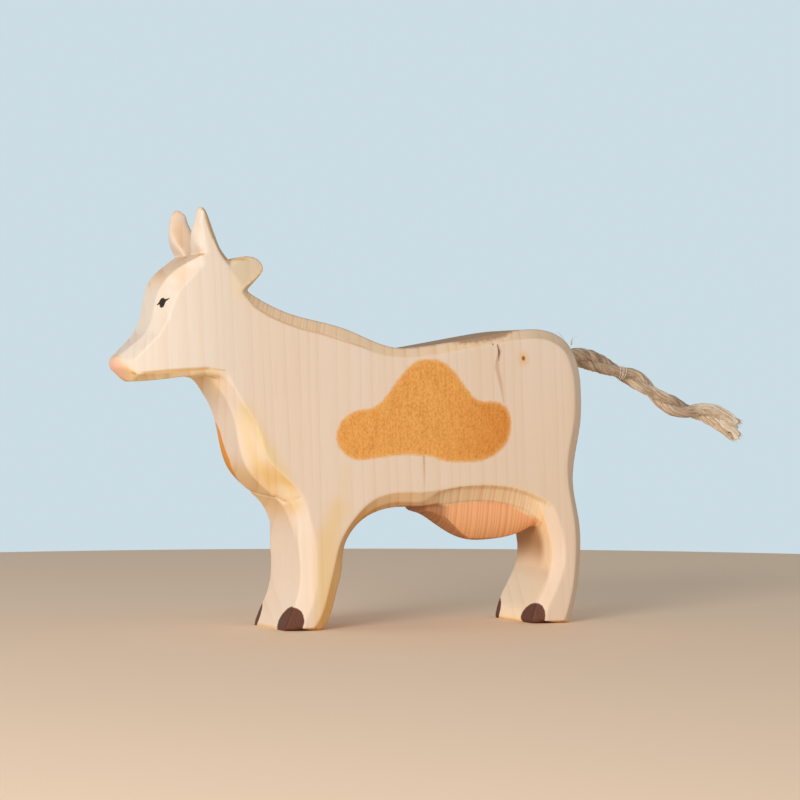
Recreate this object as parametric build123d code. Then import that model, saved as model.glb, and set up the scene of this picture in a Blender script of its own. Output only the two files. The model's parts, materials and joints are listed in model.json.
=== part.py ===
from build123d import *
import math
import os

# A cow figurine: one body sawn and carved from a softwood board, and a tail of twisted rope
# glued into a hole in the rump. The cow looks towards -X, its left side faces -Y and its back is up.
# The origin is on the ground, midway along the body and across the board.

# Overall sizes of the wooden body, in millimetres
body_length = 133.5
body_height = 114.0
board_thickness = 28.0

# How far the bevels reach in from each side of the board, across its edge
knife_reach = 5.3
sanded_reach = 2.0

# Widths of the bevels, as seen from the side
throat_bevel = 2.3
chest_bevel = 5.2
shin_bevel = 4.2
sole_bevel = 0.8
arch_bevel = 3.2
belly_bevel = 4.3
flank_bevel = 4.5
thigh_bevel = 3.2
hock_bevel = 2.4
rump_bevel = 3.0
back_bevel = 2.7
withers_bevel = 3.3
nape_bevel = 1.5
ear_bevel = 1.2
horn_bevel = 1.5
tip_bevel = 0.9

# The share of a bevel's width that it has reached by the sanded reach: all of a knife bevel's
# slope is one plane, a sanded bevel starts there, and rounded and hollowed ones bow out and in
knife_share = 1 - sanded_reach / knife_reach
sanded_share = 0.0
rounded_share = 0.35
hollow_share = 0.8

# The head
cheek_radius = 68.0         # of the curve that narrows the muzzle, seen from above
nose_corner = 4.6           # from the nose back to where its rounded front meets the cheeks
run_out = 3.0               # how far a cut runs on past the end of the wood
fading_share = 0.25         # how far a bevel's plane reaches past its edges, as a share of its width
crown_front_opening = 21.5  # width of the cut between the fronts of the horn tips
crown_middle_opening = 15.5 # the same at the back of the horns, which are thicker there
crown_rear_opening = 24.0   # width of the cut at the same height behind the ears
ear_fold_angle = 17.0       # how far each ear is turned in towards the neck, in degrees
ear_length = 14.0           # from that fold to past the tip of the ear

# The udder, which hangs in the hollow between the flanks
udder_width = 16.0
udder_keel_width = 7.6
udder_keel_depth = 0.6

# The tail and the hole that it is glued into
rope_diameter = 6.0
rope_depth = 8.0            # length of the rope inside the hole
glue_thickness = 0.3        # the space round the rope in the hole, filled with glue
glue_setback = 3.0          # from the mouth of the hole to where the glue starts
tail_shares = (0.980, 0.667)

# The route of the tail, from the middle of the mouth of its hole
tail_route = [
    (-rope_depth, 0, 0),
    (4.0, 0, 0),
    (15.6, 0, -3.4),
    (27.4, 0, -10.4),
    (37.9, 0, -15.5),
    (49.2, 0, -17.9),
    (59.1, 0, -23.3),
]
bend_share = 0.45           # how much of the shorter run each bend of the tail takes up

overrun = 6.0

# The outline from the side. Each row is a share of the length from the nose, a share of the
# height from the ground, the width of the bevel there and the share that its reach takes.
face_shares = [
    (0.158, 0.885, 0, sanded_share),
    (0.130, 0.865, 0, sanded_share),
    (0.104, 0.840, 0, sanded_share),
    (0.088, 0.812, 0, sanded_share),
    (0.080, 0.783, 0, sanded_share),
    (0.075, 0.751, 0, sanded_share),
    (0.063, 0.712, 0, sanded_share),
    (0.042, 0.684, 0, sanded_share),
    (0.010, 0.652, 0, sanded_share),
]
nose_shares = [
    (0.010, 0.652, 0, sanded_share),
    (0.000, 0.638, 0, sanded_share),
    (0.010, 0.612, 0, sanded_share),
    (0.036, 0.591, 0, sanded_share),
]
jaw_shares = [
    (0.036, 0.591, 0, sanded_share),
    (0.090, 0.596, 0, sanded_share),
    (0.137, 0.603, 0, sanded_share),
    (0.188, 0.602, 0, sanded_share),
]
chest_shares = [
    (0.188, 0.602, throat_bevel, knife_share),
    (0.211, 0.568, throat_bevel, knife_share),
    (0.229, 0.533, throat_bevel, knife_share),
    (0.240, 0.496, (throat_bevel + chest_bevel) / 2, knife_share),
    (0.255, 0.417, chest_bevel, knife_share),
    (0.268, 0.382, chest_bevel, knife_share),
    (0.289, 0.353, chest_bevel, knife_share),
    (0.316, 0.325, chest_bevel, knife_share),
    (0.340, 0.298, chest_bevel, rounded_share),
    (0.356, 0.265, shin_bevel, rounded_share),
    (0.368, 0.215, shin_bevel, sanded_share),
    (0.372, 0.162, shin_bevel, sanded_share),
    (0.372, 0.114, shin_bevel, sanded_share),
    (0.366, 0.079, shin_bevel, sanded_share),
    (0.353, 0.044, shin_bevel, sanded_share),
    (0.339, 0.000, shin_bevel, sanded_share),
]
front_sole_shares = [
    (0.339, 0.000, sole_bevel, sanded_share),
    (0.420, 0.000, sole_bevel, sanded_share),
]
belly_shares = [
    (0.420, 0.000, arch_bevel, sanded_share),
    (0.440, 0.042, arch_bevel, sanded_share),
    (0.451, 0.089, arch_bevel, sanded_share),
    (0.462, 0.139, arch_bevel, sanded_share),
    (0.475, 0.195, arch_bevel, rounded_share),
    (0.502, 0.246, arch_bevel, rounded_share),
    (0.541, 0.276, belly_bevel, rounded_share),
    (0.594, 0.289, belly_bevel, rounded_share),
    (0.642, 0.289, belly_bevel, rounded_share),
    (0.687, 0.293, flank_bevel, hollow_share),
    (0.740, 0.300, flank_bevel, hollow_share),
    (0.800, 0.300, flank_bevel, hollow_share),
    (0.845, 0.291, flank_bevel, hollow_share),
    (0.882, 0.275, flank_bevel, hollow_share),
    (0.916, 0.247, flank_bevel, hollow_share),
]
thigh_shares = [
    (0.916, 0.247, thigh_bevel, sanded_share),
    (0.928, 0.211, thigh_bevel, sanded_share),
    (0.933, 0.167, thigh_bevel, sanded_share),
    (0.926, 0.125, thigh_bevel, sanded_share),
    (0.909, 0.082, thigh_bevel, sanded_share),
    (0.894, 0.044, thigh_bevel, sanded_share),
    (0.885, 0.000, thigh_bevel, sanded_share),
]
rear_sole_shares = [
    (0.885, 0.000, sole_bevel, sanded_share),
    (0.971, 0.000, sole_bevel, sanded_share),
]
rump_shares = [
    (0.971, 0.000, hock_bevel, sanded_share),
    (0.985, 0.052, hock_bevel, sanded_share),
    (0.998, 0.178, hock_bevel, sanded_share),
    (0.996, 0.241, hock_bevel, sanded_share),
    (0.981, 0.341, hock_bevel, sanded_share),
    (0.983, 0.391, rump_bevel, sanded_share),
    (0.999, 0.500, rump_bevel, sanded_share),
    (1.000, 0.556, rump_bevel, sanded_share),
    (0.991, 0.636, rump_bevel, sanded_share),
    (*tail_shares, rump_bevel, sanded_share),
    (0.967, 0.688, rump_bevel, sanded_share),
    (0.943, 0.708, rump_bevel, sanded_share),
    (0.905, 0.720, back_bevel, sanded_share),
    (0.871, 0.720, back_bevel, sanded_share),
    (0.778, 0.704, back_bevel, sanded_share),
    (0.707, 0.689, back_bevel, sanded_share),
    (0.637, 0.675, back_bevel, sanded_share),
    (0.588, 0.672, back_bevel, sanded_share),
    (0.532, 0.688, withers_bevel, sanded_share),
    (0.480, 0.713, withers_bevel, sanded_share),
    (0.418, 0.733, withers_bevel, sanded_share),
    (0.361, 0.748, withers_bevel, sanded_share),
    (0.311, 0.770, withers_bevel, sanded_share),
    (0.258, 0.805, nape_bevel, sanded_share),
]
ear_shares = [
    (0.258, 0.805, ear_bevel, sanded_share),
    (0.272, 0.823, ear_bevel, sanded_share),
    (0.286, 0.841, ear_bevel, sanded_share),
    (0.295, 0.860, ear_bevel, sanded_share),
    (0.284, 0.879, ear_bevel, sanded_share),
    (0.261, 0.886, ear_bevel, sanded_share),
    (0.242, 0.883, ear_bevel, sanded_share),
    (0.223, 0.874, ear_bevel, sanded_share),
]
horn_shares = [
    (0.223, 0.874, horn_bevel, sanded_share),
    (0.207, 0.896, horn_bevel, sanded_share),
    (0.193, 0.932, horn_bevel, sanded_share),
    (0.184, 0.961, horn_bevel, sanded_share),
    (0.175, 0.985, tip_bevel, sanded_share),
    (0.162, 1.000, tip_bevel, sanded_share),
    (0.153, 0.985, tip_bevel, sanded_share),
    (0.148, 0.961, horn_bevel, sanded_share),
    (0.150, 0.919, horn_bevel, sanded_share),
    (0.164, 0.889, horn_bevel, sanded_share),
]
horn_ledge_shares = [
    (0.164, 0.889, 0, sanded_share),
    (0.158, 0.885, 0, sanded_share),
]
outline = [
    face_shares,
    nose_shares,
    jaw_shares,
    chest_shares,
    front_sole_shares,
    belly_shares,
    thigh_shares,
    rear_sole_shares,
    rump_shares,
    ear_shares,
    horn_shares,
    horn_ledge_shares,
]

# How far back from the nose the sides begin to draw in, as a share of the body's length
cheek_start_share = 0.217

# The flat band down the forehead and nose, between the two bevels that carry the eyes. Each row
# follows a point of the face: half the band's width as a share of the board's thickness.
face_band_shares = [0.475, 0.35, 0.305, 0.26, 0.22, 0.205, 0.205, 0.185, 0.12]
brow_bevel_widths = [2.6, 3.4, 4.0, 3.7, 3.4, 3.0, 2.3, 2.1, 2.8]

# The same for the front of the horns, for the points of the horns from the bottom up
horn_front_shares = [0.485, 0.42, 0.34, 0.39]
horn_cut_widths = [1.4, 2.3, 1.4, 0.9]

# The same for the edge of the jaw, for the lowest point of the nose and the points of the jaw
jaw_band_shares = [0.05, 0.115, 0.32, 0.409, 0.435]
jaw_cut_widths = [2.0, 1.8, 1.7, 1.7, 1.7]

# The bottom of the V that is cut between the horns: at the forehead, behind the horns and at the
# back of the ears. Each is a share of the body's length from the nose and a share of its height.
crown_front_shares = (0.135, 0.888)
crown_middle_shares = (0.205, 0.852)
crown_rear_shares = (0.300, 0.803)

# The sides of the V bow out through these shares of its height and width
crown_bend_height_share = 0.45
crown_bend_share = 0.65

# The ends of the fold between an ear and the head: shares of the body's length and height
ear_fold_shares = [(0.206, 0.871), (0.247, 0.810)]

# The height at which the udder grows out of the belly, as a share of the body's height
udder_root_share = 0.281

# The udder's side bulges at this share of its height and of the way from its keel to its full width
udder_bulge_height_share = 0.5
udder_bulge_share = 0.8

# The udder's lower edge: shares of the body's length and height
udder_shares = [
    (0.660, 0.278),
    (0.705, 0.252),
    (0.738, 0.222),
    (0.768, 0.206),
    (0.803, 0.202),
    (0.845, 0.206),
    (0.890, 0.222),
    (0.935, 0.246),
]


def place(x_share, z_share):
    """A point of the side view, from its shares of the body's length and height."""
    return Vector((x_share - 0.5) * body_length, 0, z_share * body_height)


def inward(start, end):
    """The direction into the wood, square to a step along the outline."""
    step = (end - start).normalized()
    return Vector(-step.Z, 0, step.X)


def mitre(point, normal_a, width_a, normal_b, width_b):
    """Where two bevels of their own widths meet at a corner of the outline."""
    spread = normal_a.X * normal_b.Z - normal_a.Z * normal_b.X
    x = (width_a * normal_b.Z - width_b * normal_a.Z) / spread
    z = (width_b * normal_a.X - width_a * normal_b.X) / spread
    return point + Vector(x, 0, z)


def ring(y, depth):
    """The outline at one depth into the bevels: 0 at the edge, 1 at the sanded reach, 2 at the face."""
    points = [[place(row[0], row[1]) for row in stretch] for stretch in outline]
    widths = []
    for stretch in outline:
        widths.append([(0, row[2] * row[3], row[2])[depth] for row in stretch])
    edges = []
    for index, stretch in enumerate(points):
        before = points[index - 1]
        after = points[(index + 1) % len(points)]
        first = inward(stretch[0], stretch[1])
        last = inward(stretch[-2], stretch[-1])
        last_before = inward(before[-2], before[-1])
        first_after = inward(after[0], after[1])
        width_before = widths[index - 1][-1]
        width_after = widths[(index + 1) % len(points)][0]
        moved = [mitre(stretch[0], last_before, width_before, first, widths[index][0])]
        for place_number in range(1, len(stretch) - 1):
            across = inward(stretch[place_number - 1], stretch[place_number + 1])
            moved.append(stretch[place_number] + across * widths[index][place_number])
        moved.append(mitre(stretch[-1], last, widths[index][-1], first_after, width_after))
        moved = [Vector(point.X, y, point.Z) for point in moved]
        if len(moved) == 2:
            edges.append(Edge.make_line(moved[0], moved[1]))
        else:
            edges.append(Edge.make_spline(moved))
    return Wire(edges)


def sawn_and_bevelled():
    """The board sawn to the outline, with every edge bevelled by its own width."""
    half = board_thickness / 2
    depths = [(half, 2), (half - sanded_reach, 1), (half - knife_reach, 0)]
    rings = [ring(-y, depth) for y, depth in depths]
    rings += [ring(y, depth) for y, depth in reversed(depths)]
    return Solid.make_loft(rings, ruled=True)


def cheek_half(x):
    """Half the thickness of the head at a place along the body: the muzzle narrows along an arc."""
    drawn_in = max(0, cheek_start - x)
    return board_thickness / 2 - cheek_radius + math.sqrt(cheek_radius**2 - drawn_in**2)


def cheek_cutter(side):
    """The wood outside the arcs that narrow the muzzle and round the nose, on one side."""
    corner = nose_x + nose_corner
    middle = (cheek_start + corner) / 2
    cheek = Edge.make_three_point_arc(
        Vector(cheek_start, side * cheek_half(cheek_start), 0),
        Vector(middle, side * cheek_half(middle), 0),
        Vector(corner, side * cheek_half(corner), 0),
    )
    radius = (cheek_half(corner) ** 2 + nose_corner**2) / (2 * nose_corner)
    turn = math.acos(1 - nose_corner / radius) / 2
    nose = Edge.make_three_point_arc(
        Vector(corner, side * cheek_half(corner), 0),
        Vector(nose_x + radius * (1 - math.cos(turn)), side * radius * math.sin(turn), 0),
        Vector(nose_x, 0, 0),
    )
    outside = side * (board_thickness / 2 + overrun)
    rest = Wire.make_polygon(
        [
            Vector(nose_x, 0, 0),
            Vector(nose_x - overrun, 0, 0),
            Vector(nose_x - overrun, outside, 0),
            Vector(cheek_start, outside, 0),
            Vector(cheek_start, side * cheek_half(cheek_start), 0),
        ],
        close=False,
    )
    profile = Face(Wire([cheek, nose] + rest.edges()))
    return Solid.extrude(profile, Vector(0, 0, body_height + overrun))


def edge_cutter(stations, side):
    """The wood outside a bevel. A station: outline point, way inward, half of the front left, width."""
    sections = []
    for point, across, band, width in stations:
        edge = point + Vector(0, side * band, 0)
        inner = point + across * width
        inner = inner + Vector(0, side * cheek_half(inner.X), 0)
        slope = (inner - edge) * fading_share
        corner = point - across * overrun + Vector(0, side * (cheek_half(point.X) + overrun), 0)
        sections.append(Wire.make_polygon([edge - slope, inner + slope, corner], close=True))
    return Solid.make_loft(sections, ruled=True)


def moved_on(station, way):
    """A station like this one, some way further along the cut."""
    point, across, band, width = station
    return (point + way * run_out, across, band, width)


def face_cutter(side):
    """The cut between the forehead and the cheek, from the horn down to the nose."""
    path = [place(row[0], row[1]) for row in face_shares]
    path.append(place(nose_shares[1][0], nose_shares[1][1]))
    path.insert(0, path[0] + (path[0] - path[1]))
    stations = []
    for index, band in enumerate(face_band_shares, start=1):
        across = inward(path[index - 1], path[index + 1])
        stations.append((path[index], across, band * board_thickness, brow_bevel_widths[index - 1]))
    stations.append(moved_on(stations[-1], (path[-2] - path[-3]).normalized()))
    return edge_cutter(stations, side)


def jaw_cutter(side):
    """The cut along the lower edge of the jaw, from the nose back to the throat, where it fades out."""
    path = [place(row[0], row[1]) for row in nose_shares[-2:] + jaw_shares[1:]]
    stations = []
    for index, point in enumerate(path):
        across = inward(path[max(index - 1, 0)], path[min(index + 1, len(path) - 1)])
        stations.append((point, across, jaw_band_shares[index] * board_thickness, jaw_cut_widths[index]))
    stations.insert(0, moved_on(stations[0], (path[0] - path[1]).normalized()))
    throat, across, band, width = stations[-1]
    faded = width * fading_share
    stations.append((throat + Vector(width, 0, 0), across, cheek_half(throat.X) - faded, faded))
    return edge_cutter(stations, side)


def horn_cutter(side):
    """The cut that thins the front of a horn, from its base to the tip."""
    path = [place(row[0], row[1]) for row in reversed(horn_shares[-len(horn_front_shares):])]
    stations = []
    for index, point in enumerate(path):
        across = inward(path[min(index + 1, len(path) - 1)], path[max(index - 1, 0)])
        stations.append((point, across, horn_front_shares[index] * board_thickness, horn_cut_widths[index]))
    stations.append(moved_on(stations[-1], (path[-1] - path[-2]).normalized()))
    return edge_cutter(stations, side)


def crown_cutter():
    """The cut that parts the two horns and, further back, the two ears."""
    sections = []
    for shares, opening in (
        (crown_front_shares, crown_front_opening),
        (crown_middle_shares, crown_middle_opening),
        (crown_rear_shares, crown_rear_opening),
    ):
        bottom = place(*shares)
        bend_z = bottom.Z + (body_height - bottom.Z) * crown_bend_height_share
        bend_half = opening / 2 * crown_bend_share
        growth = (opening / 2 - bend_half) / (body_height - bend_z)
        half = opening / 2 + growth * overrun
        bend = Vector(bottom.X, bend_half, bend_z)
        right = [bottom, bend, Vector(bottom.X, half, body_height + overrun)]
        left = [Vector(point.X, -point.Y, point.Z) for point in reversed(right)]
        edges = [Edge.make_spline(right), Edge.make_line(right[-1], left[0]), Edge.make_spline(left)]
        sections.append(Wire(edges))
    return Solid.make_loft(sections, ruled=True)


def ear_cutter(side):
    """The wood outside an ear, which is turned in towards the neck from a fold behind the horn."""
    top = place(*ear_fold_shares[0])
    bottom = place(*ear_fold_shares[1])
    fold = (bottom - top).normalized()
    back = Vector(-fold.Z, 0, fold.X)
    half = board_thickness / 2
    reach = ear_length
    start = top - fold * fading_share * ear_length
    run = (bottom - start).length
    drawn_in = reach * math.tan(math.radians(ear_fold_angle))
    profile = [
        start + Vector(0, side * half, 0),
        start + back * reach + Vector(0, side * (half - drawn_in), 0),
        start + back * reach + Vector(0, side * (half + overrun), 0),
        start + Vector(0, side * (half + overrun), 0),
    ]
    return Solid.extrude(Face(Wire.make_polygon(profile, close=True)), fold * run)


def udder():
    """The udder, lofted through U-shaped sections that narrow towards its keel."""
    lowest = min(z for x, z in udder_shares) * body_height
    sections = []
    for x_share, z_share in udder_shares:
        point = place(x_share, z_share)
        drop = (udder_root - point.Z) / (udder_root - lowest)
        half = udder_width / 2
        keel = half + (udder_keel_width / 2 - half) * drop
        bulge = keel + (half - keel) * udder_bulge_share
        middle = point.Z + (udder_root - point.Z) * udder_bulge_height_share
        top = udder_root + overrun
        right = [
            Vector(point.X, half, udder_root),
            Vector(point.X, bulge, middle),
            Vector(point.X, keel, point.Z + udder_keel_depth * drop),
        ]
        left = [Vector(v.X, -v.Y, v.Z) for v in reversed(right)]
        edges = [
            Edge.make_line(Vector(point.X, -half, top), Vector(point.X, half, top)),
            Edge.make_line(Vector(point.X, half, top), right[0]),
            Edge.make_spline(right),
            Edge.make_spline([right[-1], point - Vector(0, 0, udder_keel_depth * (1 - drop)), left[0]]),
            Edge.make_spline(left),
            Edge.make_line(left[-1], Vector(point.X, -half, top)),
        ]
        sections.append(Wire(edges))
    return Solid.make_loft(sections)


def cylinder_along_x(radius, start_x, end_x):
    """A round bar or hole on the axis of the tail's hole."""
    circle = Face(Wire.make_circle(radius, Plane(origin=(start_x, 0, tail_mouth.Z), z_dir=(1, 0, 0))))
    return Solid.extrude(circle, Vector(end_x - start_x, 0, 0))


def carved_body():
    """The whole wooden cow, in one piece."""
    body = sawn_and_bevelled()
    for side in (-1, 1):
        body = body - cheek_cutter(side)
        body = body - face_cutter(side)
        body = body - jaw_cutter(side)
        body = body - horn_cutter(side)
        body = body - ear_cutter(side)
    body = body - crown_cutter()
    body = body + udder()
    hole = cylinder_along_x(hole_radius, hole_bottom_x, nose_x + body_length + overrun)
    return body - hole


def tail_glue():
    """The glue round the rope and at the bottom of the hole."""
    end = tail_mouth.X - glue_setback
    fill = cylinder_along_x(hole_radius, hole_bottom_x, end)
    return fill - cylinder_along_x(rope_diameter / 2, hole_bottom_x + glue_thickness, end + overrun)


def tail_rope():
    """The tail as a plain round cord, in straight runs joined by arcs."""
    points = [tail_mouth + Vector(*offset) for offset in tail_route]
    radii = []
    for before, point, after in zip(points, points[1:], points[2:]):
        turn = math.radians((point - before).get_angle(after - point))
        shorter = min((point - before).length, (after - point).length)
        radii.append(bend_share * shorter / math.tan(turn / 2))
    path = FilletPolyline(*points, radius=radii)
    print("tail bend radii", [round(radius, 1) for radius in radii])
    start = Plane(origin=points[0], z_dir=points[1] - points[0])
    rope = sweep(start * Circle(rope_diameter / 2), path=path)
    plain = math.pi * rope_diameter**2 / 4 * path.length
    print("tail length", round(path.length, 1), "volume", round(rope.volume, 1), "of", round(plain, 1))
    return rope


nose_x = -body_length / 2
cheek_start = place(cheek_start_share, 0).X
udder_root = place(0, udder_root_share).Z
tail_mouth = place(*tail_shares)
hole_radius = rope_diameter / 2 + glue_thickness
hole_bottom_x = tail_mouth.X - rope_depth - glue_thickness

os.makedirs("parts", exist_ok=True)
pieces = {"carved_body": carved_body(), "tail_rope": tail_rope(), "tail_glue": tail_glue()}
for name, piece in pieces.items():
    print(name, "volume", round(piece.volume), "faces", len(piece.faces()), "solids", len(piece.solids()))
    export_step(piece, f"parts/{name}.step")
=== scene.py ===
# %% [markdown]
# # A wooden cow with a rope tail
#
# The real cow is one piece of a pale softwood board. It was sawn to its outline, its edges were
# cut back with a knife and sanded, its patches and hooves were stained, and a bit of twisted rope
# was glued into a hole in the rump. The measured shape comes ready made as the frame: this
# lesson loads it, and then gives each piece the surface that the real one has.

# %% Load the frame
import bpy
import json
import math
import mathutils
import numpy as np
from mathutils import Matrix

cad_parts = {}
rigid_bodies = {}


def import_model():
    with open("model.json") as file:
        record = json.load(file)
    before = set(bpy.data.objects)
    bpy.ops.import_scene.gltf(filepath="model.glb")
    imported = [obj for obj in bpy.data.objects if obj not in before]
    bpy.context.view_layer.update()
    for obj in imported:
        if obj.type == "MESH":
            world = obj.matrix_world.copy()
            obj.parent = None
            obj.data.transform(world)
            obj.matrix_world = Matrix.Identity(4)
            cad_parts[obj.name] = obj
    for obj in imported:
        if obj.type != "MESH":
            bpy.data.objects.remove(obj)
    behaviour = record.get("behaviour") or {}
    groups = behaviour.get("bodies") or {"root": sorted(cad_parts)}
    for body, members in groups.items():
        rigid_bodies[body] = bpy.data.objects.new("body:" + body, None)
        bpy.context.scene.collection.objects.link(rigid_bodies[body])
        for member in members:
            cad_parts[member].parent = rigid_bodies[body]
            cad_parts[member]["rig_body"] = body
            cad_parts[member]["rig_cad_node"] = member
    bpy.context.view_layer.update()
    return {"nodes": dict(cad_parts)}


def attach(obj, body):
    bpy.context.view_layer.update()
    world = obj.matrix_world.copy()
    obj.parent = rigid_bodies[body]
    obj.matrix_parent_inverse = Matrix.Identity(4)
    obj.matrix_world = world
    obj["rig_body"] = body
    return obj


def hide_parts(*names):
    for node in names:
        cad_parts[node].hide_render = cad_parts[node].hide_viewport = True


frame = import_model()
mm = 0.001

# %% [markdown]
# ## The camera
#
# The figure was photographed from low down, level with its belly, and a little from the front.
# A long lens far away keeps the legs parallel. The camera comes first, so that every later
# piece can be set against the photograph.

# %% Camera
eye = (-0.2727, -0.7345, 0.0624)
turned_to_the_head = math.radians(-21.5)
bpy.ops.object.camera_add(location=eye, rotation=(math.radians(90), 0, turned_to_the_head))
camera = bpy.context.object
camera.data.sensor_width = 36
camera.data.lens = 127.485
bpy.context.scene.camera = camera
print("camera at", eye, "with a lens of", round(camera.data.lens, 1), "mm")

# %% [markdown]
# ## The line of the tail
#
# A short thick rope is stiff. It comes straight out of its hole and then hangs in a slack wave,
# which a smooth curve with a few control points can follow. The curve itself is never shown: its
# points are read once, and the strands are wound round them later.

# %% The tail's line
tail_route = [
    (0.05608, 0, 0.07604),
    (0.06610, 0, 0.07604),
    (0.07600, 0, 0.07360),
    (0.08300, 0, 0.07090),
    (0.09050, 0, 0.06820),
    (0.09750, 0, 0.06260),
    (0.10450, 0, 0.05920),
    (0.11150, 0, 0.05930),
    (0.11800, 0, 0.05660),
    (0.12320, 0, 0.05250),
]


def line_points(name, places):
    """The points along a smooth curve that has these places as its control points."""
    curve = bpy.data.curves.new(name, "CURVE")
    curve.dimensions = "3D"
    curve.resolution_u = 24
    spline = curve.splines.new("NURBS")
    spline.points.add(len(places) - 1)
    for point, place in zip(spline.points, places):
        point.co = (*place, 1)
    spline.order_u = 3
    spline.use_endpoint_u = True
    line = bpy.data.objects.new(name, curve)
    bpy.context.collection.objects.link(line)
    mesh = bpy.data.meshes.new_from_object(line)
    points = np.array([vertex.co for vertex in mesh.vertices])
    bpy.data.objects.remove(line)
    bpy.data.meshes.remove(mesh)
    return points


def path_lengths(points):
    """How far along the line each of its points lies."""
    steps = np.linalg.norm(np.diff(points, axis=0), axis=1)
    return np.concatenate([[0], np.cumsum(steps)])


tail_line = line_points("tail_line", tail_route)
tail_length = path_lengths(tail_line)[-1]
print("tail line", len(tail_line), "points,", round(tail_length * 1000, 1), "mm long")

# %% [markdown]
# ## The body
#
# The whole cow is one piece of a board 28 mm thick. The loaded solid has its shape, but its faces
# only lie against each other. A copy of it is joined into one skin, which can then be worked over
# as a whole. The solid itself is left alone.

# %% Copy the solid and join its faces
def only(obj):
    """Selects one object and nothing else, ready for an operator."""
    bpy.ops.object.select_all(action="DESELECT")
    obj.select_set(True)
    bpy.context.view_layer.objects.active = obj


only(frame["nodes"]["carved_body"])
bpy.ops.object.duplicate()
cow = bpy.context.object
cow.name = cow.data.name = "cow_body"
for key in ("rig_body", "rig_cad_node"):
    del cow[key]
cow.parent = None
bpy.ops.object.mode_set(mode="EDIT")
bpy.ops.mesh.select_all(action="SELECT")
bpy.ops.mesh.remove_doubles(threshold=0.000002)
bpy.ops.object.mode_set(mode="OBJECT")
cow.data.materials.clear()
print("joined body", len(cow.data.vertices), "points")

# %% [markdown]
# ## Sanded edges
#
# The skin's edges are still as sharp as a drawing, and sanded softwood has no such edges. It is
# remade as an even net of small faces and smoothed a little, which wears every edge down by the
# same small amount. The even net also gives the painted marks places to be stored in.

# %% Round the edges as sandpaper does
def apply_modifier(obj, kind, **settings):
    """Adds a modifier with these settings and applies it."""
    only(obj)
    bpy.ops.object.modifier_add(type=kind)
    modifier = obj.modifiers[-1]
    for name, value in settings.items():
        setattr(modifier, name, value)
    bpy.ops.object.modifier_apply(modifier=modifier.name)


def triangle_count(obj):
    """How many triangles the object's faces make."""
    obj.data.calc_loop_triangles()
    return len(obj.data.loop_triangles)


net_width = 0.42 * mm
apply_modifier(cow, "REMESH", mode="VOXEL", voxel_size=net_width)
apply_modifier(cow, "SMOOTH", factor=0.5, iterations=1)
print("sanded body", triangle_count(cow), "triangles")

# %% [markdown]
# ## Places that were rubbed longer
#
# Some places of the real figure are rounder than the rest, because fingers and sandpaper stayed
# on them longer: the tip of the muzzle, the inner corner of the throat, and the inner sides of
# the horns. The net is smoothed there many times over, with a weight that fades out at the rim,
# so that no step shows where the rubbing ends.

# %% Rub the muzzle, the throat and the inner sides of the horns rounder
def read_points(obj, kind="co"):
    """The places of an object's points, or their normals."""
    values = np.empty(len(obj.data.vertices) * 3, np.float32)
    obj.data.vertices.foreach_get(kind, values)
    return values.reshape(-1, 3).astype(float)


def rub(name, weights, times):
    """Rubs the body down where the weights are above zero."""
    group = cow.vertex_groups.new(name=name)
    for index in np.nonzero(weights > 0)[0]:
        group.add([int(index)], float(weights[index]), "REPLACE")
    apply_modifier(cow, "SMOOTH", factor=0.5, iterations=times, vertex_group=name)
    print("rubbed", name, "over", int((weights > 0).sum()), "points")


def ramp(values, low, high):
    """0 at the first length in millimetres, 1 at the second, and straight between them."""
    return np.clip((values / mm - low) / (high - low), 0, 1)


raw = read_points(cow)
off_middle = abs(raw[:, 1])
throat = np.array([-41.5, 11.0, 69.0]) * mm
throat_gap = np.linalg.norm(np.column_stack([raw[:, 0], off_middle, raw[:, 2]]) - throat, axis=1)
between_horn_ends = ramp(raw[:, 2], 101.7, 103.0) * ramp(raw[:, 2], 112.8, 111.0)
rub("muzzle", ramp(raw[:, 0], -62.8, -65.0), 30)
rub("throat", ramp(throat_gap, 6.0, 3.5), 60)
rub("inner_horn", between_horn_ends * ramp(off_middle, 12.6, 11.4), 90)

# %% [markdown]
# ## Creases
#
# A knife leaves a shallow crease where two cuts meet at the chest, and the board has one short
# drying crack in its flank. Each is a line of places in millimetres with a width and a depth. The
# points near the line sink in, and less so the further off they are, which leaves a groove with
# round shoulders.

# %% Press the creases in
def distance_to_line(places, line):
    """How far each place is from a line of points."""
    nearest = np.full(len(places), 1.0)
    for start, end in zip(line, line[1:]):
        step = end - start
        share = np.clip((places - start) @ step / (step @ step), 0, 1)
        gap = np.linalg.norm(places - start - share[:, None] * step, axis=1)
        nearest = np.minimum(nearest, gap)
    return nearest


chest_crease = [
    (-25.6, 12.5, 37.6), (-24.3, 4.9, 36.8), (-23.4, -5.4, 36.5), (-23.2, -8.9, 36.2), (-21.3, -9.9, 34.8),
]
shoulder_crease = [(-21.3, -9.9, 34.8), (-17.7, -13.4, 36.0)]
drying_crack = [(40.9, -14.0, 75.4), (40.6, -14.0, 74.0), (40.2, -14.0, 72.6)]
grooves = [(chest_crease, 0.5, 0.3), (shoulder_crease, 0.35, 0.15), (drying_crack, 0.3, 0.25)]
sanded = read_points(cow)
outward = read_points(cow, "normal")
for line, width, depth in grooves:
    far_off = distance_to_line(sanded, np.array(line) * mm)
    sanded -= outward * (depth * mm * np.exp(-(far_off / (width * mm)) ** 2))[:, None]
    print("crease touches", int((far_off < width * mm).sum()), "points")

# %% [markdown]
# ## Feet and horns that are no twins
#
# The figure was sawn and cut by hand, so its two sides differ a little. The soles are a little
# out of square, and the far feet stand slightly ahead of the near ones. The far horn is about a
# millimetre broader than the near one. A table lists its front and back edges at several heights
# and how far each edge moves there, and every point between the edges moves by its share.

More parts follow.
